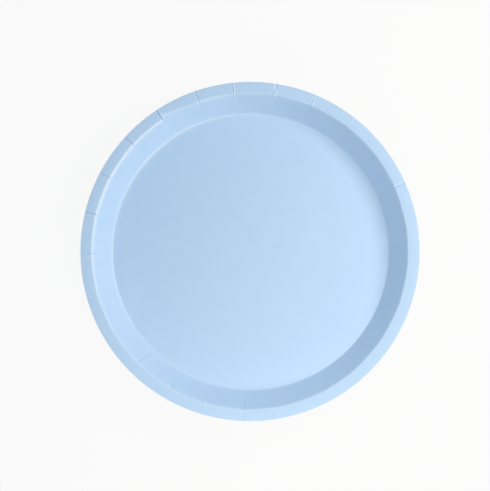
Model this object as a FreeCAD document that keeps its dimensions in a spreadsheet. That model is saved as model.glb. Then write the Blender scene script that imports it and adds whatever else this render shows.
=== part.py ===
import FreeCAD, Part
import os
import Sketcher

# A stack of round paper plates, nested in each other and all alike.
# Each plate is one sheet of coated board, pressed to a flat floor, a sloping wall and a rim.
# The board that the smaller circles have no room for is gathered in radial pleats:
# V folds that start at the edge of the floor and are deepest at the cut edge of the rim.
# Millimetres and degrees, +Z up, the origin on the ground under the middle of the stack.

SIZES = [
    ("plates", 6, "plates in the stack"),
    ("outer_radius", 115, "middle to the cut edge of the rim"),
    ("rim_width", 7.6, "cut edge to shoulder, seen from above"),
    ("wall_width", 12.2, "shoulder to the edge of the floor, seen from above"),
    ("wall_height", 14.6, "floor to shoulder"),
    ("rim_rise", 1.1, "shoulder to the top of the cut edge"),
    ("board_thickness", 0.45, "board and coating, square to the face"),
    ("pleats", 25, "pleats round one plate"),
    ("panels_per_pleat", 3, "flat strips of board from one pleat to the next"),
    ("pleat_depth", 0.35, "depth of the fold at the cut edge"),
    ("pleat_width", 1.8, "width of the fold at the cut edge"),
    ("first_pleat", 8.75, "where the top plate has a pleat, from +X"),
    ("turned_panels", 1, "panels that a plate is turned against the one on it"),
    ("nest_clearance", 0.1, "free space between two walls where a pleat lies between them"),
    ("floor_lap", 4, "lap of the formed ring and the floor's disc"),
    ("overrun", 1, "how far a shape that cuts or is cut passes the board"),
]

doc = FreeCAD.newDocument("paper_plates")
sizes = doc.addObject("Spreadsheet::Sheet", "sizes")
for row, (alias, number, note) in enumerate(SIZES, 1):
    sizes.set(f"A{row}", alias)
    sizes.set(f"B{row}", str(number))
    sizes.set(f"C{row}", note)
    sizes.setAlias(f"B{row}", alias)
doc.recompute()

# What follows from the sizes, as formulas of the sheet.
shoulder_radius = "(sizes.outer_radius - sizes.rim_width)"
floor_radius = f"({shoulder_radius} - sizes.wall_width)"
ring_start = f"({floor_radius} - sizes.floor_lap)"
pleat_run = "(sizes.wall_width + sizes.rim_width)"
rim_slope = "(sizes.rim_rise / sizes.rim_width)"
wall_angle = "atan2(sizes.wall_height; sizes.wall_width)"
shoulder_height = "(sizes.board_thickness + sizes.wall_height)"
edge_height = f"({shoulder_height} + sizes.rim_rise)"
beyond_edge = "(sizes.outer_radius + sizes.overrun)"
panels = "sizes.pleats * sizes.panels_per_pleat"
pitch = f"((sizes.board_thickness + sizes.nest_clearance) / cos({wall_angle}) + sizes.pleat_depth)"


def value(formula, place=sizes):
    return float(place.evalExpression(formula))


def origin_plane(body, role):
    return [feature for feature in body.Origin.OriginFeatures if feature.Role == role][0]


def new_sketch(body, name, role):
    sketch = body.newObject("Sketcher::SketchObject", name)
    sketch.AttachmentSupport = [(origin_plane(body, role), "")]
    sketch.MapMode = "FlatFace"
    return sketch


def draw_outline(sketch, corners):
    # a closed outline, its first line from the first corner to the second
    points = [FreeCAD.Vector(x, y, 0) for x, y in corners]
    following = points[1:] + points[:1]
    for start, end in zip(points, following):
        sketch.addGeometry(Part.LineSegment(start, end))
    for line in range(len(points)):
        sketch.addConstraint(Sketcher.Constraint("Coincident", line, 2, (line + 1) % len(points), 1))


def set_size(sketch, name, formula, kind, *where):
    # a named dimension that a formula drives
    index = sketch.addConstraint(Sketcher.Constraint(kind, *where, value(formula, sketch)))
    sketch.renameConstraint(index, name)
    sketch.setExpression(f"Constraints.{name}", formula)


def read_size(sketch, name, kind, *where):
    # a named dimension that only reads what the others give, returned for use in formulas
    index = sketch.addConstraint(Sketcher.Constraint(kind, *where, 1))
    sketch.setDriving(index, False)
    sketch.renameConstraint(index, name)
    return f"({sketch.Name}.Constraints.{name} / 1 mm)"


def make(body, kind, name, profile, **settings):
    feature = body.newObject(kind, name)
    feature.Profile = profile
    for setting, choice in settings.items():
        setattr(feature, setting, choice)
    doc.recompute()
    return feature


def must_change(name, before, after, sign):
    # an operation that adds or takes nothing points the wrong way
    if (after.Shape.Volume - before.Shape.Volume) * sign <= 0:
        raise RuntimeError(f"{name} changed nothing")


def floor_disc(body):
    radius = f"{floor_radius} - sizes.floor_lap / 2"
    outline = new_sketch(body, "floor_outline", "XY_Plane")
    outline.addGeometry(Part.Circle(FreeCAD.Vector(0, 0, 0), FreeCAD.Vector(0, 0, 1), value(radius)))
    outline.addConstraint(Sketcher.Constraint("Coincident", 0, 3, -1, 1))
    set_size(outline, "radius", radius, "Radius", 0)
    disc = make(body, "PartDesign::Pad", "floor_disc", outline)
    disc.setExpression("Length", "sizes.board_thickness")
    doc.recompute()
    return disc


def board_section(body):
    # the pressed board, cut through the axis, from inside the floor to the cut edge
    sketch = new_sketch(body, "board_section", "XZ_Plane")
    board = value("sizes.board_thickness")
    height = value(shoulder_height)
    edge = value(edge_height)
    inside = value(ring_start)
    fold = value(floor_radius)
    shoulder = value(shoulder_radius)
    outer = value("sizes.outer_radius")
    draw_outline(sketch, [
        (inside, 0),
        (fold + board / 2, 0),
        (shoulder + board / 2, height - board),
        (outer, edge - board),
        (outer, edge),
        (shoulder, height),
        (fold, board),
        (inside, board),
    ])
    under_floor, under_wall, under_rim, cut_edge, rim, wall, floor, inner_end = range(8)
    origin = (-1, 1)
    x_axis = -1
    sketch.addConstraint(Sketcher.Constraint("PointOnObject", under_floor, 1, x_axis))
    sketch.addConstraint(Sketcher.Constraint("Horizontal", under_floor))
    sketch.addConstraint(Sketcher.Constraint("Horizontal", floor))
    sketch.addConstraint(Sketcher.Constraint("Vertical", cut_edge))
    sketch.addConstraint(Sketcher.Constraint("Vertical", inner_end))
    sketch.addConstraint(Sketcher.Constraint("Parallel", under_wall, wall))
    sketch.addConstraint(Sketcher.Constraint("Parallel", under_rim, rim))
    set_size(sketch, "inside", ring_start, "DistanceX", *origin, under_floor, 1)
    set_size(sketch, "floor_radius", floor_radius, "DistanceX", *origin, floor, 1)
    set_size(sketch, "shoulder_radius", shoulder_radius, "DistanceX", *origin, wall, 1)
    set_size(sketch, "outer_radius", "sizes.outer_radius", "DistanceX", *origin, rim, 1)
    set_size(sketch, "floor_board", "sizes.board_thickness", "DistanceY", under_floor, 1, inner_end, 1)
    set_size(sketch, "wall_board", "sizes.board_thickness", "Distance", wall, 2, under_wall)
    set_size(sketch, "rim_board", "sizes.board_thickness", "Distance", rim, 2, under_rim)
    set_size(sketch, "wall_height", "sizes.wall_height", "DistanceY", wall, 2, wall, 1)
    set_size(sketch, "rim_rise", "sizes.rim_rise", "DistanceY", rim, 2, rim, 1)
    below = {
        "fold": read_size(sketch, "under_fold", "DistanceX", *origin, under_wall, 1),
        "shoulder": read_size(sketch, "under_shoulder", "DistanceX", *origin, under_rim, 1),
        "shoulder_height": read_size(sketch, "under_shoulder_height", "DistanceY", *origin, under_rim, 1),
        "edge_height": read_size(sketch, "under_edge_height", "DistanceY", *origin, cut_edge, 1),
    }
    return sketch, below


def fold_depth(radius):
    # nothing at the edge of the floor, full at the cut edge
    return f"(sizes.pleat_depth * ({radius} - {floor_radius}) / {pleat_run})"


def fold_section(body, name, radius, face_height, depth, above):
    # a V square to the radius, its point below the board's face by the depth
    # and its flat top above that face
    sketch = new_sketch(body, name, "YZ_Plane")
    sketch.setExpression("AttachmentOffset.Base.z", radius)
    point = f"{face_height} - {depth}"
    tall = f"{depth} + {above}"
    half_width = f"({tall}) * sizes.pleat_width / 2 / sizes.pleat_depth"
    low = value(point, sketch)
    high = low + value(tall, sketch)
    half = value(half_width, sketch)
    draw_outline(sketch, [(0, low), (half, high), (-half, high)])
    right_flank, top = (0, 1)
    origin = (-1, 1)
    y_axis = -2
    sketch.addConstraint(Sketcher.Constraint("PointOnObject", right_flank, 1, y_axis))
    sketch.addConstraint(Sketcher.Constraint("Symmetric", top, 1, top, 2, y_axis))
    set_size(sketch, "point", point, "DistanceY", *origin, right_flank, 1)
    set_size(sketch, "tall", tall, "DistanceY", right_flank, 1, right_flank, 2)
    set_size(sketch, "half_width", half_width, "DistanceX", right_flank, 1, right_flank, 2)
    return sketch


def pleat_ridge(body, below):
    # the fold as it shows underneath, from nothing at the ground, its top hidden in the board
    inside = "sizes.board_thickness / 2"
    start = fold_section(body, "ridge_start", below["fold"], "0", "0", inside)
    middle = fold_section(body, "ridge_middle", below["shoulder"], below["shoulder_height"],
                          fold_depth(below["shoulder"]), inside)
    beyond_height = f"({below['edge_height']} + sizes.overrun * {rim_slope})"
    end = fold_section(body, "ridge_end", beyond_edge, beyond_height, fold_depth(beyond_edge), inside)
    return make(body, "PartDesign::AdditiveLoft", "pleat_ridge", start, Sections=[middle, end], Ruled=True)


def pleat_groove(body):
    # the fold as it shows on top, from nothing at the floor's edge, cut from above the board
    above = "sizes.overrun"
    start = fold_section(body, "groove_start", floor_radius, "sizes.board_thickness", "0", above)
    middle = fold_section(body, "groove_middle", shoulder_radius, shoulder_height,
                          fold_depth(shoulder_radius), above)
    beyond_height = f"({edge_height} + sizes.overrun * {rim_slope})"
    end = fold_section(body, "groove_end", beyond_edge, beyond_height, fold_depth(beyond_edge), above)
    return make(body, "PartDesign::SubtractiveLoft", "pleat_groove", start, Sections=[middle, end], Ruled=True)


def waste_section(body):
    # what lies outside the cut edge, taken off as the die cuts the plate from its sheet,
    # twice as wide as the folds' own overrun
    width = "(2 * sizes.overrun)"
    low = f"({edge_height} - sizes.board_thickness - sizes.pleat_depth - {width})"
    high = f"({edge_height} + {width})"
    sketch = new_sketch(body, "waste_section", "XZ_Plane")
    outer = value("sizes.outer_radius")
    far = outer + value(width)
    draw_outline(sketch, [(outer, value(low)), (far, value(low)), (far, value(high)), (outer, value(high))])
    bottom, outside, top, inside = range(4)
    origin = (-1, 1)
    sketch.addConstraint(Sketcher.Constraint("Horizontal", bottom))
    sketch.addConstraint(Sketcher.Constraint("Horizontal", top))
    sketch.addConstraint(Sketcher.Constraint("Vertical", outside))
    sketch.addConstraint(Sketcher.Constraint("Vertical", inside))
    set_size(sketch, "outer_radius", "sizes.outer_radius", "DistanceX", *origin, bottom, 1)
    set_size(sketch, "width", width, "DistanceX", bottom, 1, bottom, 2)
    set_size(sketch, "low", low, "DistanceY", *origin, bottom, 1)
    set_size(sketch, "high", high, "DistanceY", *origin, top, 1)
    return sketch


def pressed_plate(body):
    # one straight run of the path for each flat panel of the ring
    path = doc.addObject("Part::RegularPolygon", "panel_path")
    path.setExpression("Polygon", panels)
    path.setExpression("Circumradius", "sizes.outer_radius")
    mitred = {"Spine": path, "Transition": "Right corner"}
    disc = floor_disc(body)
    section, below = board_section(body)
    ring = make(body, "PartDesign::AdditivePipe", "formed_ring", section, **mitred)
    must_change("formed_ring", disc, ring, 1)
    ridge = pleat_ridge(body, below)
    must_change("pleat_ridge", ring, ridge, 1)
    groove = pleat_groove(body)
    must_change("pleat_groove", ridge, groove, -1)
    pleats = body.newObject("PartDesign::PolarPattern", "pleats")
    pleats.Originals = [ridge, groove]
    pleats.Axis = (disc.Profile[0], ["N_Axis"])
    pleats.Angle = 360
    pleats.setExpression("Occurrences", "sizes.pleats")
    body.Tip = pleats
    doc.recompute()
    trim = make(body, "PartDesign::SubtractivePipe", "die_cut", waste_section(body), **mitred)
    must_change("die_cut", pleats, trim, -1)
    body.Tip = trim


def stack_plate(number):
    # the first plate is pressed, and the others are the same plate put on it
    body = doc.addObject("PartDesign::Body", f"plate_{number}")
    if number == 1:
        pressed_plate(body)
    else:
        body.BaseFeature = doc.getObject("plate_1")
    body.setExpression("Placement.Base.z", f"{number - 1} * {pitch}")
    turn = f"(sizes.plates - {number}) * sizes.turned_panels * 360 / ({panels})"
    body.setExpression("Placement.Rotation.Angle", f"sizes.first_pleat + {turn}")
    return body


stack = [stack_plate(number) for number in range(1, int(sizes.plates) + 1)]
doc.recompute()

for item in doc.Objects:
    if "Invalid" in item.State or "Error" in item.State:
        raise RuntimeError(f"{item.Name} failed: {item.State}")
for body in stack:
    if body.Shape.isNull() or not body.Shape.isValid() or len(body.Shape.Solids) != 1:
        raise RuntimeError(f"{body.Label} is not one sound solid")

os.makedirs("parts", exist_ok=True)
for body in stack:
    body.Shape.exportStep(f"parts/{body.Label}.step")
    print(body.Label, round(body.Shape.Volume, 1), "mm3", body.Placement)
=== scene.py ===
import math

import bpy
import numpy as np
from mathutils import Matrix, Vector


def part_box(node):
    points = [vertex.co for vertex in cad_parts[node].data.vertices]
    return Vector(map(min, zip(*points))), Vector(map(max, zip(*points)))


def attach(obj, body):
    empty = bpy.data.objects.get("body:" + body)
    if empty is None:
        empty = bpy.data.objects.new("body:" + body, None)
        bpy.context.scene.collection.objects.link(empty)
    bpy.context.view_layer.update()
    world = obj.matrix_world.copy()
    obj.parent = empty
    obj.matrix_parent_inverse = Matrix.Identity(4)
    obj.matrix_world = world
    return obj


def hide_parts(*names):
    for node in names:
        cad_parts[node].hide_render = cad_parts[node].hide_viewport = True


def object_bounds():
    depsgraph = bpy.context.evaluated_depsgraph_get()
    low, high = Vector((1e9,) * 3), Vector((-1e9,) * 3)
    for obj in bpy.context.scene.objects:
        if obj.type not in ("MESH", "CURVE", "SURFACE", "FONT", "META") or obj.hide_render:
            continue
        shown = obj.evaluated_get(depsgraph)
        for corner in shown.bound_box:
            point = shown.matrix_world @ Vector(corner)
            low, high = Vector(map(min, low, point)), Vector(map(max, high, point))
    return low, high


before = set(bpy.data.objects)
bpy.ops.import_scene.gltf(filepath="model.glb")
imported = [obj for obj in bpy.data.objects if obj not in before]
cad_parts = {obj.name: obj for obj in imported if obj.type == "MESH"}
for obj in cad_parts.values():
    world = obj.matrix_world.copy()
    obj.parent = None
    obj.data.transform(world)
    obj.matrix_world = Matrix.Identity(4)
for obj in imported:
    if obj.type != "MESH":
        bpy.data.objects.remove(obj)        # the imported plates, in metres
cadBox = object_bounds()
scene = bpy.context.scene
mm = 0.001
print("stage: frame loaded,", len(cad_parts), "plates")


# the plates, all lengths in millimetres

plate = {
    "floorRadius": 95.2,       # to the fold between floor and wall
    "shoulderRadius": 107.4,   # to the fold between wall and rim
    "rimRise": 1.1,            # shoulder to cut edge
    "board": 0.45,             # board and coating
    "floorFold": 1.2,          # radius of the pressed fold
    "shoulderFold": 1.4,
    "rimCrown": 0.12,          # how far the rim arches between shoulder and edge
    "floorDome": 0.15,         # the floor springs up a little in its middle
    "flatness": 0.3,           # the shoulder from pleat to pleat: 0 is round and 1 is straight
    "slack": 0.1,              # how far the shoulder fold misses its circle at a pleat
    "tilt": 0.09,              # how far the cut edge is held up or down at a pleat
    "seed": 40,                # for all that differs from plate to plate
    "sharpAngle": 40,          # degrees; sharper edges aren't shaded smooth
}

pleat = {
    "count": 25,
    "first": 8.75,             # of the top plate, degrees from +X
    "turn": 4.8,               # each plate against the one on it, degrees
    "gatheredSide": 127,       # degrees: the top plate's board was gathered hardest here
    "gatheredMost": 0.95,
    "gatheredLeast": 0.1,      # and hardly on the other side
    "gatheredScatter": 0.05,
    "depth": 0.35,             # of the valley at the cut edge
    "width": 1.8,              # there too
    "widthAtFloor": 0.4,       # share of that width at the floor's edge
    "widerOnWall": 0.5,        # share of the widening that is done at the shoulder
    "sharpness": 2.6,          # the valley is narrow at its bottom and runs out softly
    "growsOnWall": 0.6,        # a power: below 1 the fold is soon deep
    "growsOnRim": 0.5,
    "onWallLeast": 0.3,        # the faintest fold on the wall, where 1 is the deepest
    "slitDepth": 0.45,         # the gap between the folded layers, on the coated face only
    "slitWidth": 0.7,
    "slitInside": 1.2,         # how far the gap runs inside the shoulder
    "slitRamp": 0.125,         # share of the rim in which it gets its full depth
    "leftUnderSlit": 0.1,      # the gap never reaches the back
    "ironed": 0.3,             # share of the fold that the press leaves on the wall's coated face
    "ironedBack": 0.7,         # and on its back, where the folded layers show
    "ironedBackMost": 0.8,
    "lap": 0.2,                # the board on one side of the fold lies over the other
    "lapReach": 1.4,
    "lapRoundness": 1.5,
    "headroom": 0.12,          # the cut edge lies this much lower than the highest lap
    "edgeWearAndHighlight": 0.3,           # whitening and painted highlight of the upper layer's edge, at a fold as deep as can be
    "wander": 0.05,            # how far a fold strays from its straight line
    "waves": 1.3,              # radians of that wave in a millimetre
    "apart": 1.0,              # from the upper layer's edge to the gap
    "apartChanges": (0.375, 0.625),   # shares of the rim's width between which that may change
    "dentInside": 2.6,         # a dent lies this far inside the shoulder
    "dentReach": 0.8,
}

# Pleats of the top plate that stand out. They are numbered counter-clockwise from the first.
# Aside is how many millimetres the fold misses its place by, counter-clockwise.
# Over is 1 where the board on the counter-clockwise side lies on top, and -1 for the other side.
# Grip is how deep the fold is, lift how high the upper layer stands, slit how deep the gap is and
# gape how wide, crest how much the upper layer's edge is whitened and given a painted highlight. Apart is
# how many millimetres lie between that edge and the gap, and apartInside the same at the shoulder. Wander is
# how far the fold strays.
# Short is 1 where the fold has just closed at the cut edge, and 2 where it closes halfway there.
# OnWall, wallSlit and wallCrest are the grip, slit and crest of the fold's run down the wall,
# wallAt is where its whitened edge with the painted highlight lies, and dent how deep a short mark it leaves
# at the wall's top.
standingPleats = [
    {"number": 0, "over": 1, "grip": 0.2, "slit": 0.1, "crest": 0.1, "short": 1.0, "dent": 0.8},
    {"number": 1, "over": 1, "aside": 0.75, "grip": 0.5, "lift": 0.4, "slit": 1.0, "crest": 0.5},
    {"number": 2, "over": 1, "grip": 0.1, "slit": 0.2, "gape": 1.6, "crest": 0.3, "short": 2.5,
     "dent": 2.8},
    {"number": 3, "over": -1, "aside": -0.4, "grip": 0.3, "lift": 0.6, "slit": 0.5, "crest": 0.4,
     "apart": 1.1},
    {"number": 4, "over": -1, "aside": 0.6, "grip": 0.4, "lift": 0.8, "slit": 0.6, "crest": 0.6,
     "short": 0.7, "apart": 1.6},
    {"number": 5, "over": 1, "grip": 0.5, "slit": 0.9, "crest": 0.8, "apart": 1.3, "apartInside": -2.8},
    {"number": 6, "over": -1, "aside": 0.45, "grip": 0.3, "lift": 1.1, "slit": 0.8, "crest": 0.65,
     "apart": 0.8, "onWall": 1.6, "wallCrest": 0.5, "wallAt": -0.95},
    {"number": 7, "over": 1, "aside": -1.2, "grip": 0.5, "lift": 0.9, "slit": 0.8, "crest": 0.6,
     "apart": 1.1},
    {"number": 8, "over": -1, "aside": -1.6, "grip": 1.2, "lift": 1.5, "slit": 1.0, "gape": 1.3,
     "crest": 0.5, "onWall": 1.0, "wallCrest": 0.35, "wallAt": 1.1},
    {"number": 9, "over": 1, "aside": -1.0, "grip": 0.8, "slit": 1.0, "crest": 0.2, "short": 0.2,
     "wallSlit": 0.3},
    {"number": 10, "over": 1, "aside": -0.25, "grip": 0.5, "slit": 0.8, "crest": 0.1,
     "wallCrest": 0.2, "wallAt": 0.0},
    {"number": 11, "over": 1, "aside": -0.5, "grip": 0.8, "slit": 1.0, "crest": 0.2},
    {"number": 12, "over": 1, "grip": 0.5, "slit": 1.2, "crest": 0.4, "short": 1.0, "apart": 2.3},
    {"number": 13, "over": -1, "grip": 0.1, "slit": 0.05, "crest": 0.05, "short": 1.0},
    {"number": 15, "over": 1, "aside": 1.1, "grip": 0.3, "lift": 1.3, "slit": 0.2, "gape": 1.5,
     "crest": 0.0, "short": 2.5, "apart": 0.2, "onWall": 2.4, "wallSlit": 2.0, "wander": 0.35},
    {"number": 16, "over": -1, "aside": 1.2, "grip": 0.1, "slit": 0.05, "gape": 1.4, "crest": 0.6,
     "short": 2.5, "dent": 2.2},
    {"number": 17, "over": -1, "aside": 1.4, "grip": 0.1, "slit": 0.05, "crest": 0.7, "short": 2.5},
    {"number": 18, "over": -1, "aside": -0.5, "grip": 0.2, "slit": 0.3, "gape": 1.6, "crest": 0.1,
     "dent": 3.0},
]

# The panel of the top plate that the press caught askew. Its shoulder fold lies out by these
# millimetres at its first and its last pleat, and its shoulder has less whitening and less painted highlight.
# The plates below give way at the same place, and each a little further along than the one on it.
caughtPanel = {
    "number": 7,
    "outAtStart": -0.1,
    "outAtEnd": 2.5,
    "curve": 1.8,              # a power: the bulge is gathered at the last pleat
    "further": 0.12,           # share of a panel, from each plate to the one below
    # share of the whitening and painted highlight left along this panel's shoulder
    "wearAndHighlight": 0.35,
}

# The clear coat whitens along both round folds where the press strains it; a painted highlight lies on them
# where they face the lamps.
wearAndHighlight = {
    "shoulder": 0.9,           # along the fold between wall and rim
    "shoulderSide": 148,       # degrees from +X, on the top plate, where the painted highlight on this fold is strongest
    "floor": 0.45,             # along the fold between floor and wall
    "floorSide": 134,
    "spread": 56,              # degrees to each side
    "least": 0.16,             # share that is left on the other side
    "reach": 0.8,              # mm to each side of a fold's middle
    "crestReach": 0.45,        # mm to each side of the upper layer's edge
    "crestInside": 0.5,        # mm that the edge's whitening and painted highlight run inside the shoulder
}

grid = {
    "floorRows": (0, 0.3, 0.6, 0.85, 0.97),   # shares of the floor's radius
    "foldRows": 7,             # in each round fold
    "faceSteps": 8,            # up the wall, and out over the rim
    "besidePleat": [*np.arange(0, 1.5, 0.12), 1.6, 1.9, 2.4, 3.2],   # columns, mm at the cut edge
    "panelStep": 2.3,          # mm between the columns further off
}


def pleatAngles(number, total):
    # the direction of each pleat of one plate, in radians
    turned = pleat["first"] + (total - number) * pleat["turn"]
    angles = np.radians(turned + np.arange(pleat["count"]) * 360 / pleat["count"])
    if number == total:
        for mark in standingPleats:
            angles[mark["number"]] += mark.get("aside", 0) / plate["shoulderRadius"]
    return angles


def columnPlaces(radius):
    # across one panel, counter-clockwise from its pleat: close beside both pleats, even between
    spacing = 2 * math.pi / pleat["count"]
    beside = np.array(grid["besidePleat"]) / radius
    inner = spacing - 2 * beside[-1]
    steps = max(2, round(inner * radius / grid["panelStep"]))
    across = beside[-1] + inner * np.arange(1, steps) / steps
    return np.concatenate([beside, across, spacing - beside[:0:-1]])


def makeColumns(angles, radius):
    # for each column its direction, its panel, its nearest pleat, and how far it is from both
    count = pleat["count"]
    across = columnPlaces(radius) * count / (2 * math.pi)
    panels = np.repeat(np.arange(count), len(across))
    across = np.tile(across, count)
    width = (np.roll(angles, -1) - angles)[panels] % (2 * math.pi)
    past = across > 0.5
    return {
        "phi": angles[panels] + across * width,
        "panel": panels,
        "along": across,
        "pleat": (panels + past) % count,
        "offset": (across - past) * width,
    }


def setStandingPleats(pleats, names):
    # what the list gives for the top plate's pleats takes the place of what was drawn
    for mark in standingPleats:
        for name in names:
            pleats[name][mark["number"]] = mark.get(name, pleats[name][mark["number"]])


def drawPleats(angles, rng, onTop):
    # how hard each pleat is gathered, which side of it lies on top, and what shows on the wall
    count = pleat["count"]
    side = math.radians(pleat["gatheredSide"]) if onTop else rng.uniform(0, 2 * math.pi)
    spread = pleat["gatheredMost"] - pleat["gatheredLeast"]
    grip = pleat["gatheredLeast"] + spread * np.clip(np.cos(angles - side), 0, 1)
    grip += rng.uniform(-pleat["gatheredScatter"], pleat["gatheredScatter"], count)
    pleats = {
        "grip": grip,
        "over": rng.choice([-1.0, 1.0], count),
        "onWall": rng.uniform(pleat["onWallLeast"], 1.0, count),
        "lift": grip.copy(),
        "slit": grip.copy(),
        "crest": pleat["edgeWearAndHighlight"] * grip,
        "short": np.zeros(count),
        "wallSlit": np.zeros(count),
        "wallCrest": np.zeros(count),
        "dent": np.zeros(count),
        "wander": np.full(count, pleat["wander"]),
        "apart": np.full(count, pleat["apart"]),
        "gape": np.ones(count),
    }
    if onTop:
        setStandingPleats(pleats, list(pleats))
    pleats["apartInside"] = pleats["apart"].copy()
    pleats["wallAt"] = pleats["over"] * pleats["apart"] / 2
    if onTop:
        setStandingPleats(pleats, ["apartInside", "wallAt"])
    return pleats


def shoulderShift(columns, rng, topAngles, platesAbove):
    # between two pleats the fold runs a little straighter than a circle and a little askew
    count = pleat["count"]
    sag = plate["flatness"] * plate["shoulderRadius"] * (1 - math.cos(math.pi / count))
    ends = rng.uniform(-plate["slack"], plate["slack"], (2, count))
    t = columns["along"]
    slack = ends[0, columns["panel"]] * (1 - t) + ends[1, columns["panel"]] * t
    # 0 at the caught panel's first pleat and 1 at its last, counted from a radian before the first
    start, end = topAngles[caughtPanel["number"]:caughtPanel["number"] + 2]
    reached = ((columns["phi"] - start + 1) % (2 * math.pi) - 1) / (end - start)
    caught = columns["panel"] == caughtPanel["number"]
    if platesAbove > 0:
        # a lower plate comes back to its circle gradually
        caught = (reached >= 0) * np.clip(1 + platesAbove - (reached - 1) / caughtPanel["further"], 0, 1)
    reached = np.clip(reached, 0, 1) ** caughtPanel["curve"]
    out = caughtPanel["outAtStart"] * (1 - reached) + caughtPanel["outAtEnd"] * reached
    return slack + (out - slack) * caught - 4 * sag * t * (1 - t)


def roundFold(start, radius, angleFrom, angleTo, steps):
    # points of a round fold that turns the board from one slope to another
    points = []
    bend = radius * np.sign(angleTo - angleFrom)
    for share in np.linspace(0, 1, steps):
        turn = angleFrom + (angleTo - angleFrom) * share
        points.append((start[0] + bend * (np.sin(turn) - np.sin(angleFrom)),
                       start[1] + bend * (np.cos(angleFrom) - np.cos(turn))))
    return points


def rimHeight(radius, outer, height, shoulderR, shoulderZ):
    # the rim's shallow arch from the shoulder to the cut edge
    t = (radius - shoulderR) / (outer - shoulderR)
    return shoulderZ + (height - shoulderZ) * t + 4 * plate["rimCrown"] * t * (1 - t)


def upperLine(outer, height, shift):
    # radius and height of the coated face, row by row from the middle to the cut edge
    floorZ = plate["board"]
    shoulderR = plate["shoulderRadius"] + shift
    rimSlope = plate["rimRise"] / (outer - plate["shoulderRadius"])
    shoulderZ = height - plate["rimRise"] + shift * rimSlope
    wallAngle = np.arctan2(shoulderZ - floorZ, shoulderR - plate["floorRadius"])
    rimAngle = np.arctan((height - shoulderZ + 4 * plate["rimCrown"]) / (outer - shoulderR))
    steps = np.linspace(0, 1, grid["faceSteps"] + 1)
    # floor
    foldR = plate["floorRadius"] - plate["floorFold"] * np.tan(wallAngle / 2)
    rows = [(foldR * share, floorZ + plate["floorDome"] * (1 - share ** 2)) for share in grid["floorRows"]]
    rows += roundFold((foldR, floorZ), plate["floorFold"], 0, wallAngle, grid["foldRows"])
    # wall
    tangent = plate["shoulderFold"] * np.tan((wallAngle - rimAngle) / 2)
    topR = shoulderR - tangent * np.cos(wallAngle)
    topZ = shoulderZ - tangent * np.sin(wallAngle)
    lowR, lowZ = rows[-1]
    rows += [(lowR + (topR - lowR) * share, lowZ + (topZ - lowZ) * share) for share in steps[1:-1]]
    rows += roundFold((topR, topZ), plate["shoulderFold"], wallAngle, rimAngle, grid["foldRows"])
    # rim
    startR, startZ = rows[-1]
    miss = startZ - rimHeight(startR, outer, height, shoulderR, shoulderZ)
    for share in steps[1:]:
        radius = startR + (outer - startR) * share
        rimZ = rimHeight(radius, outer, height, shoulderR, shoulderZ)
        rows.append((radius, rimZ + miss * (1 - share)))
    whole = np.ones(len(shift))
    return np.array([r * whole for r, z in rows]), np.array([z * whole for r, z in rows])


def lowerLine(topR, topZ, outer):
    # the underside: the same line one board lower, square to the face
    alongR = np.gradient(topR, axis=0)
    alongZ = np.gradient(topZ, axis=0)
    length = np.hypot(alongR, alongZ)
    underR = np.minimum(topR + plate["board"] * alongZ / length, outer)
    underR[0] = 0
    underR[-1] = outer
    return underR, topZ - plate["board"] * alongR / length


def rimShare(radius, outer):
    # 0 at the shoulder and 1 at the cut edge
    return np.clip((radius - plate["shoulderRadius"]) / (outer - plate["shoulderRadius"]), 0, 1)


def wallShare(radius):
    # 0 at the floor's edge and 1 at the shoulder
    wallWidth = plate["shoulderRadius"] - plate["floorRadius"]
    return np.clip((radius - plate["floorRadius"]) / wallWidth, 0, 1)


def apartThere(radius, outer, columns, pleats):
    # mm from the gap to the upper layer's edge, which may change halfway to the cut edge
    k = columns["pleat"]
    start, end = pleat["apartChanges"]
    outside = np.clip((rimShare(radius, outer) - start) / (end - start), 0, 1)
    return pleats["over"][k] * (pleats["apartInside"][k] * (1 - outside) + pleats["apart"][k] * outside)


def openThere(radius, outer, columns, pleats):
    # 1 where a fold is open as far as it goes, and 0 from where it has closed
    return np.clip(1 - pleats["short"][columns["pleat"]] * rimShare(radius, outer), 0, 1)


def besideFold(radius, columns, pleats):
    # mm from the nearest fold, counted counter-clockwise; the fold strays a little on its way out
    stray = pleats["wander"][columns["pleat"]] * np.sin(radius * pleat["waves"])
    return columns["offset"] * radius - stray


def besideGap(radius, outer, columns, pleats):
    # mm from the gap where the folded layers meet, counted counter-clockwise
    return besideFold(radius, columns, pleats) + apartThere(radius, outer, columns, pleats) / 2


def gapShare(radius, outer, columns, pleats):
    # 1 in the middle of the narrow gap and 0 at both its sides
    halfWidth = pleats["gape"][columns["pleat"]] * pleat["slitWidth"] / 2
    return np.clip(1 - np.abs(besideGap(radius, outer, columns, pleats)) / halfWidth, 0, 1)


def slitHeight(radius, outer, columns, pleats):
    # how far the gap along each fold goes down, with the dent inside the shoulder
    k = columns["pleat"]
    onRim = rimShare(radius + pleat["slitInside"], outer)
    onWall = wallShare(radius) * (onRim == 0)
    gap = gapShare(radius, outer, columns, pleats)
    started = np.clip(onRim / pleat["slitRamp"], 0, 1)
    depth = pleats["slit"][k] * started * openThere(radius, outer, columns, pleats)
    # a dent has its full depth to half its reach, and half of it at the whole reach
    fromDent = np.abs(radius - plate["shoulderRadius"] + pleat["dentInside"])
    dent = pleats["dent"][k] * np.clip(1.5 - fromDent / pleat["dentReach"], 0, 1)
    return -pleat["slitDepth"] * gap * (depth + dent + pleats["wallSlit"][k] * onWall)


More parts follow.
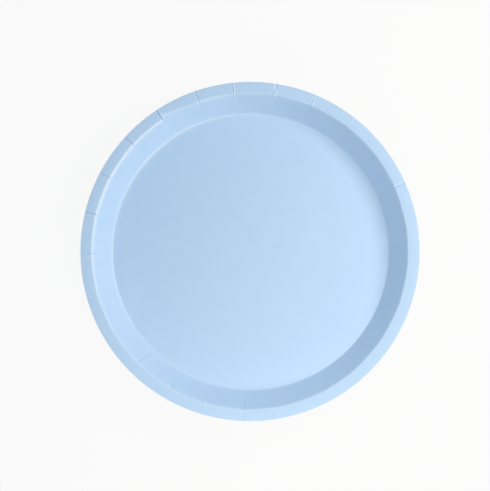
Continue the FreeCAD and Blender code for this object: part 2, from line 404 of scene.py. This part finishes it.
def foldedHeight(radius, outer, columns, pleats, tilts, onWallShare):
    # how far the pleats, the laps beside them and the panels' tilt lift the board
    k = columns["pleat"]
    onWall = wallShare(radius)
    onRim = rimShare(radius, outer)
    fromGap = besideGap(radius, outer, columns, pleats)
    wallPart = onWallShare[k] * onWall ** pleat["growsOnWall"] * (1 - onRim)
    rimPart = onRim ** pleat["growsOnRim"] * openThere(radius, outer, columns, pleats)
    atFloor = pleat["widthAtFloor"]
    widened = np.maximum(onRim, pleat["widerOnWall"] * onWall)
    halfWidth = pleat["width"] / 2 * (atFloor + (1 - atFloor) * widened)
    valley = np.clip(1 - np.abs(fromGap) / halfWidth, 0, 1) ** pleat["sharpness"]
    near = np.clip(1 - np.abs(fromGap) / pleat["lapReach"], 0, 1) ** pleat["lapRoundness"]
    onTop = fromGap * pleats["over"][k] > 0
    folded = pleat["lap"] * near * onTop * pleats["lift"][k] - pleat["depth"] * valley * pleats["grip"][k]
    t = columns["along"]
    tilt = tilts[0, columns["panel"]] * (1 - t) + tilts[1, columns["panel"]] * t
    return folded * (wallPart + rimPart) + tilt * onRim


def strainedAndHighlightSide(columns, side):
    # 1 at the side of the plate where a round fold is strained most and its painted highlight is strongest
    turn = np.abs((columns["phi"] - side + math.pi) % (2 * math.pi) - math.pi)
    return wearAndHighlight["least"] + (1 - wearAndHighlight["least"]) * np.clip(1 - turn / math.radians(wearAndHighlight["spread"]), 0, 1)


def foldWearAndHighlight(radius, outer, shoulderR, columns, pleats, turned):
    # how far the coat has whitened, with a painted highlight: along both round folds, and on the upper
    # layer's edge at a pleat
    k = columns["pleat"]
    shoulder = wearAndHighlight["shoulder"] * np.clip(1 - np.abs(radius - shoulderR) / wearAndHighlight["reach"], 0, 1)
    shoulder = shoulder * strainedAndHighlightSide(columns, math.radians(wearAndHighlight["shoulderSide"]) + turned)
    shoulder = shoulder * np.where(columns["panel"] == caughtPanel["number"], caughtPanel["wearAndHighlight"], 1)
    floor = wearAndHighlight["floor"] * np.clip(1 - np.abs(radius - plate["floorRadius"]) / wearAndHighlight["reach"], 0, 1)
    floor = floor * strainedAndHighlightSide(columns, math.radians(wearAndHighlight["floorSide"]) + turned)
    onRim = rimShare(radius + wearAndHighlight["crestInside"], outer)
    onWall = wallShare(radius) * (onRim == 0)
    crestPlace = np.where(onRim > 0, apartThere(radius, outer, columns, pleats) / 2, pleats["wallAt"][k])
    fromCrest = np.abs(besideFold(radius, columns, pleats) - crestPlace)
    crest = np.clip(1 - fromCrest / wearAndHighlight["crestReach"], 0, 1)
    opened = openThere(radius, outer, columns, pleats)
    pleated = pleats["crest"][k] * (onRim > 0) * opened + pleats["wallCrest"][k] * onWall
    # the whitening and painted highlight along the shoulder are broken at a gap, over nearly the gap's whole
    # width
    unbroken = 1 - np.minimum(pleats["slit"][k], 1) * np.sqrt(gapShare(radius, outer, columns, pleats))
    return np.maximum(shoulder * unbroken + floor, crest * pleated)


def pressedSheet(number, total, outer, height):
    # the directions of the columns, both faces row by row from the middle, and the coat's wear with its
    # painted highlight
    rng = np.random.default_rng(plate["seed"] + number)
    angles = pleatAngles(number, total)
    columns = makeColumns(angles, outer)
    pleats = drawPleats(angles, rng, number == total)
    shift = shoulderShift(columns, rng, pleatAngles(total, total), total - number)
    topR, topZ = upperLine(outer, height - pleat["headroom"], shift)
    underR, underZ = lowerLine(topR, topZ, outer)
    slope = np.gradient(topZ, axis=0) / np.gradient(topR, axis=0)
    tilts = rng.uniform(-plate["tilt"], plate["tilt"], (2, pleat["count"]))
    onFace = pleat["ironed"] * pleats["onWall"]
    onBack = pleat["ironedBack"] * np.minimum(pleats["onWall"], pleat["ironedBackMost"])
    topZ = topZ + foldedHeight(topR, outer, columns, pleats, tilts, onFace)
    underZ = underZ + foldedHeight(underR, outer, columns, pleats, tilts, onBack)
    # the back straight below each point of the face: on the steep wall its own row lies further out
    straightBelow = underZ - plate["board"] * slope ** 2 / np.sqrt(1 + slope ** 2)
    slitZ = topZ + slitHeight(topR, outer, columns, pleats)
    topZ = np.minimum(topZ, np.maximum(slitZ, straightBelow + pleat["leftUnderSlit"]))
    turned = 0 if number == total else rng.uniform(0, 2 * math.pi)
    wornAndHighlit = foldWearAndHighlight(topR, outer, plate["shoulderRadius"] + shift, columns, pleats, turned)
    return columns["phi"], (topR, topZ), (underR, underZ), wornAndHighlit


def plateFaces(rings, across, upper):
    # quads from ring to ring and a fan to each middle: slot 0 is the coated face, 1 the back
    # and 2 the cut edge
    here = np.arange(across)
    after = np.roll(here, -1)
    quads = []
    slots = []
    for i in range(rings - 1):
        a = i * across
        b = a + across
        quads.append(np.stack([a + here, b + here, b + after, a + after], axis=1))
        slots += [0 if i < upper - 1 else 2 if i == upper - 1 else 1] * across
    last = (rings - 1) * across
    middle = rings * across
    fans = [(middle, int(a), int(b)) for a, b in zip(here, after)]
    fans += [(middle + 1, last + int(b), last + int(a)) for a, b in zip(here, after)]
    return np.concatenate(quads).tolist() + fans, slots + [0] * across + [1] * across


def makePlate(node, number, total):
    low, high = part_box(node)
    bottom = low.z / mm
    top = high.z / mm
    outer = min(high.x, high.y, -low.x, -low.y) / mm
    phi, (topR, topZ), (underR, underZ), wornAndHighlit = pressedSheet(number, total, outer, (high.z - low.z) / mm)
    # down one face and back along the other; the innermost row of each is one point in the middle
    r = np.concatenate([topR, underR[::-1]])[1:-1]
    z = np.clip(np.concatenate([topZ, underZ[::-1]])[1:-1] + bottom, bottom, top)
    # the coat's whitening, with a painted highlight along the folds
    coatWearAndHighlight = np.concatenate([wornAndHighlit, np.zeros(underR.shape)])[1:-1]
    rings = np.stack([r * np.cos(phi), r * np.sin(phi), z], axis=-1).reshape(-1, 3)
    middles = [[0, 0, topZ[0].mean() + bottom], [0, 0, underZ[0].mean() + bottom]]
    points = np.vstack([rings, middles]) * mm
    faces, slots = plateFaces(len(r), r.shape[1], len(topR) - 1)
    mesh = bpy.data.meshes.new(f"pressed_{node}")
    mesh.from_pydata(points.tolist(), [], faces)
    mesh.polygons.foreach_set("material_index", slots)
    mesh.polygons.foreach_set("use_smooth", [True] * len(faces))
    wearAndHighlightData = mesh.attributes.new("coatWearAndHighlight", "FLOAT", "POINT").data
    wearAndHighlightData.foreach_set("value", [*coatWearAndHighlight.ravel(), 0, 0])
    mesh.update()
    mesh.set_sharp_from_angle(angle=math.radians(plate["sharpAngle"]))
    piece = bpy.data.objects.new(f"pressed_{node}", mesh)
    scene.collection.objects.link(piece)
    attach(piece, "root")
    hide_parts(node)
    return piece


# materials

def hexColour(code):
    # sRGB hex to linear
    values = [int(code[i:i + 2], 16) / 255 for i in (0, 2, 4)]
    linear = [v / 12.92 if v <= 0.04045 else ((v + 0.055) / 1.055) ** 2.4 for v in values]
    return (*linear, 1.0)


def addNode(tree, kind, settings=None, inputs=None):
    # a node with its settings, and its sockets set to a value or linked to another node's socket
    node = tree.nodes.new(kind)
    for key, value in (settings or {}).items():
        setattr(node, key, value)
    for key, value in (inputs or {}).items():
        if isinstance(value, bpy.types.NodeSocket):
            tree.links.new(value, node.inputs[key])
        else:
            node.inputs[key].default_value = value
    return node


def newMaterial(name):
    material = bpy.data.materials.new(name)
    material.use_nodes = True
    tree = material.node_tree
    tree.nodes.clear()
    return material, tree


coating = {
    "light": "BAD8F3",         # pale blue ink under a clear coat
    "dark": "B3D3F0",
    "smooth": 0.34,            # roughness where the coat lies thick
    "rough": 0.39,             # and where it lies thin
    "ior": 1.5,
    "cloudSize": 9.0,          # mm, how far the ink's unevenness runs
    "fibreSize": 0.45,         # mm, drawn as coarse as it needs to show
    "fibreDepth": 0.006,       # mm
    "whitenedAndHighlight": "F1FBFF",      # the coat where a fold has strained it, and the colour of the painted highlight along the folds
    "breakSize": 1.6,          # mm, the whitening and painted highlight come and go along a fold
    "breakLeast": 0.75,        # share of the whitening where it is weakest
    "breakMost": 1.15,
}


def coatedBoard():
    # offset-printed paperboard with a clear dispersion coat: a soft, slightly uneven sheen
    c = coating
    material, tree = newMaterial("coatedPaperboard")
    place = addNode(tree, "ShaderNodeTexCoord").outputs["Object"]
    cloud = addNode(tree, "ShaderNodeTexNoise", None, {
        "Vector": place, "Scale": 1 / (c["cloudSize"] * mm), "Detail": 3.0, "Roughness": 0.55})
    ink = addNode(tree, "ShaderNodeMix", {"data_type": "RGBA"}, {
        "Factor": cloud.outputs["Fac"], "A": hexColour(c["light"]), "B": hexColour(c["dark"])})
    breaks = addNode(tree, "ShaderNodeTexNoise", None, {
        "Vector": place, "Scale": 1 / (c["breakSize"] * mm), "Detail": 2.0, "Roughness": 0.5})
    share = addNode(tree, "ShaderNodeMapRange", None, {
        "Value": breaks.outputs["Fac"], "From Min": 0.35, "From Max": 0.65,
        "To Min": c["breakLeast"], "To Max": c["breakMost"]})
    # the coat's whitening along the folds, with a painted highlight where they face the lamps
    wearAndHighlightMask = addNode(tree, "ShaderNodeAttribute", {"attribute_name": "coatWearAndHighlight"})
    wornAndHighlit = addNode(tree, "ShaderNodeMath", {"operation": "MULTIPLY"}, {
        0: wearAndHighlightMask.outputs["Fac"], 1: share.outputs["Result"]})
    colour = addNode(tree, "ShaderNodeMix", {"data_type": "RGBA"}, {
        "Factor": wornAndHighlit.outputs[0], "A": ink.outputs["Result"], "B": hexColour(c["whitenedAndHighlight"])})
    fibre = addNode(tree, "ShaderNodeTexNoise", None, {
        "Vector": place, "Scale": 1 / (c["fibreSize"] * mm), "Detail": 4.0, "Roughness": 0.6})
    bump = addNode(tree, "ShaderNodeBump", None, {
        "Height": fibre.outputs["Fac"], "Distance": c["fibreDepth"] * mm, "Strength": 1.0})
    sheen = addNode(tree, "ShaderNodeMapRange", None, {
        "Value": cloud.outputs["Fac"], "From Min": 0.3, "From Max": 0.7,
        "To Min": c["smooth"], "To Max": c["rough"]})
    shader = addNode(tree, "ShaderNodeBsdfPrincipled", None, {
        "Base Color": colour.outputs["Result"], "Roughness": sheen.outputs["Result"],
        "IOR": c["ior"], "Normal": bump.outputs["Normal"]})
    addNode(tree, "ShaderNodeOutputMaterial", None, {"Surface": shader.outputs["BSDF"]})
    return material


bareBoard = {
    "light": "F1EFEA",         # bleached board without a coat
    "dark": "E6E3DC",
    "roughness": 0.82,
    "ior": 1.5,
    "backFibres": 0.9,         # mm, where they lie flat
    "edgeFibres": 0.15,        # mm, where they are cut through
    "fibreDepth": 0.02,        # mm
}


def uncoatedBoard(name, fibreSize):
    # bleached kraft board, uncoated: matt, with fibres lying every way
    c = bareBoard
    material, tree = newMaterial(name)
    place = addNode(tree, "ShaderNodeTexCoord").outputs["Object"]
    fibre = addNode(tree, "ShaderNodeTexNoise", None, {
        "Vector": place, "Scale": 1 / (fibreSize * mm), "Detail": 5.0, "Roughness": 0.65})
    colour = addNode(tree, "ShaderNodeMix", {"data_type": "RGBA"}, {
        "Factor": fibre.outputs["Fac"], "A": hexColour(c["light"]), "B": hexColour(c["dark"])})
    bump = addNode(tree, "ShaderNodeBump", None, {
        "Height": fibre.outputs["Fac"], "Distance": c["fibreDepth"] * mm, "Strength": 1.0})
    shader = addNode(tree, "ShaderNodeBsdfPrincipled", None, {
        "Base Color": colour.outputs["Result"], "Roughness": c["roughness"],
        "IOR": c["ior"], "Normal": bump.outputs["Normal"]})
    addNode(tree, "ShaderNodeOutputMaterial", None, {"Surface": shader.outputs["BSDF"]})
    return material


coatedFace = coatedBoard()
plainBack = uncoatedBoard("uncoatedPaperboard", bareBoard["backFibres"])
cutEdge = uncoatedBoard("cutPaperboard", bareBoard["edgeFibres"])
print("stage: materials made")

nodes = sorted(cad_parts)
for number, node in enumerate(nodes, 1):
    piece = makePlate(node, number, len(nodes))
    for material in (coatedFace, plainBack, cutEdge):
        piece.data.materials.append(material)
    print("stage:", node, len(piece.data.polygons), "faces")


# the studio

studio = {
    "floorSide": 8.0,          # metres
    "floorColour": "FAFAFA",
    "background": "FBFBFB",
    "backgroundShare": 0.95,   # how much of the floor's look is the plain background
    "ambient": 0.481,
    "ambientColour": "E7F2FF",
}


def backgroundRays(tree):
    # 1 for rays that see the floor or the world directly, in gloss or through glass
    path = addNode(tree, "ShaderNodeLightPath").outputs
    seen = addNode(tree, "ShaderNodeMath", {"operation": "MAXIMUM"}, {
        0: path["Is Camera Ray"], 1: path["Is Glossy Ray"]})
    plain = addNode(tree, "ShaderNodeMath", {"operation": "MAXIMUM"}, {
        0: seen.outputs[0], 1: path["Is Transmission Ray"]})
    return plain.outputs[0]


def makeFloor():
    half = studio["floorSide"] / 2
    corners = [(-half, -half, 0), (half, -half, 0), (half, half, 0), (-half, half, 0)]
    mesh = bpy.data.meshes.new("studioFloor")
    mesh.from_pydata(corners, [], [(0, 1, 2, 3)])
    floor = bpy.data.objects.new("studioFloor", mesh)
    scene.collection.objects.link(floor)
    # matt paper: it keeps a little of the plates' shadow under the plain background
    material, tree = newMaterial("mattPaperBackdrop")
    share = addNode(tree, "ShaderNodeMath", {"operation": "MULTIPLY"}, {
        0: backgroundRays(tree), 1: studio["backgroundShare"]})
    lit = addNode(tree, "ShaderNodeBsdfDiffuse", None, {"Color": hexColour(studio["floorColour"])})
    plain = addNode(tree, "ShaderNodeEmission", None, {
        "Color": hexColour(studio["background"]), "Strength": 1.0})
    mix = addNode(tree, "ShaderNodeMixShader", None, {
        0: share.outputs[0], 1: lit.outputs[0], 2: plain.outputs[0]})
    addNode(tree, "ShaderNodeOutputMaterial", None, {"Surface": mix.outputs[0]})
    mesh.materials.append(material)


def makeWorld():
    world = bpy.data.worlds.new("softRoom")
    world.use_nodes = True
    tree = world.node_tree
    tree.nodes.clear()
    room = addNode(tree, "ShaderNodeBackground", None, {
        "Color": hexColour(studio["ambientColour"]), "Strength": studio["ambient"]})
    seen = addNode(tree, "ShaderNodeBackground", None, {
        "Color": hexColour(studio["background"]), "Strength": 1.0})
    mix = addNode(tree, "ShaderNodeMixShader", None, {
        0: backgroundRays(tree), 1: room.outputs[0], 2: seen.outputs[0]})
    addNode(tree, "ShaderNodeOutputWorld", None, {"Surface": mix.outputs[0]})
    scene.world = world


# Two square soft boxes, at the right of the picture and at its lower edge. Azimuth is in degrees
# from +X and zenith from straight above; distance and side are in metres.
lamps = [
    {"name": "rightSoftBox", "colour": "FFF2E7", "azimuth": 20, "zenith": 54,
     "distance": 0.5, "side": 0.18, "watts": 1.606},
    {"name": "lowerSoftBox", "colour": "FFF2E7", "azimuth": -80, "zenith": 46,
     "distance": 0.36, "side": 0.13, "watts": 0.464},
]


def makeLamp(lamp):
    data = bpy.data.lights.new(lamp["name"], "AREA")
    data.shape = "SQUARE"
    data.size = lamp["side"]
    data.energy = lamp["watts"]
    data.color = hexColour(lamp["colour"])[:3]
    light = bpy.data.objects.new(lamp["name"], data)
    azimuth = math.radians(lamp["azimuth"])
    zenith = math.radians(lamp["zenith"])
    away = lamp["distance"] * math.sin(zenith)
    light.location = (away * math.cos(azimuth), away * math.sin(azimuth), lamp["distance"] * math.cos(zenith))
    light.rotation_mode = "QUATERNION"
    light.rotation_quaternion = (-light.location).to_track_quat("-Z", "Y")
    scene.collection.objects.link(light)


camera = {
    "distance": 0.87,          # metres, to the rim's plane
    "tilt": 3.6,               # degrees off the vertical
    "towards": -42,            # degrees from +X: to the lower right of the picture
    "pixels": 490,             # the picture's width
    "rimRadius": 169.4,        # of the top plate in the picture, pixels
    "rimCentre": (248.97, 250.46),
    "pictureCentre": (245.0, 245.5),
    "sensor": 36.0,
}


def makeCamera():
    c = camera
    low, high = cadBox
    rimRadius = (high.x - low.x) / 2
    rimCentre = Vector(((low.x + high.x) / 2, (low.y + high.y) / 2, high.z))
    perPixel = rimRadius / c["rimRadius"]
    aim = rimCentre + Vector((c["pictureCentre"][0] - c["rimCentre"][0],
                              c["rimCentre"][1] - c["pictureCentre"][1], 0)) * perPixel
    tilt = math.radians(c["tilt"])
    towards = math.radians(c["towards"])
    back = Vector((math.sin(tilt) * math.cos(towards), math.sin(tilt) * math.sin(towards), math.cos(tilt)))
    data = bpy.data.cameras.new("camera")
    data.sensor_width = c["sensor"]
    data.lens = c["distance"] / perPixel * c["sensor"] / c["pixels"]
    data.clip_start = 0.01
    data.clip_end = 20
    view = bpy.data.objects.new("camera", data)
    right = Vector((0, 1, 0)).cross(back).normalized()
    up = back.cross(right)
    turn = Matrix((right, up, back)).transposed()
    view.matrix_world = Matrix.Translation(aim + back * c["distance"]) @ turn.to_4x4()
    scene.collection.objects.link(view)
    scene.camera = view


makeFloor()
makeWorld()
for lamp in lamps:
    makeLamp(lamp)
makeCamera()
scene.view_settings.view_transform = "Standard"
print("stage: studio ready")
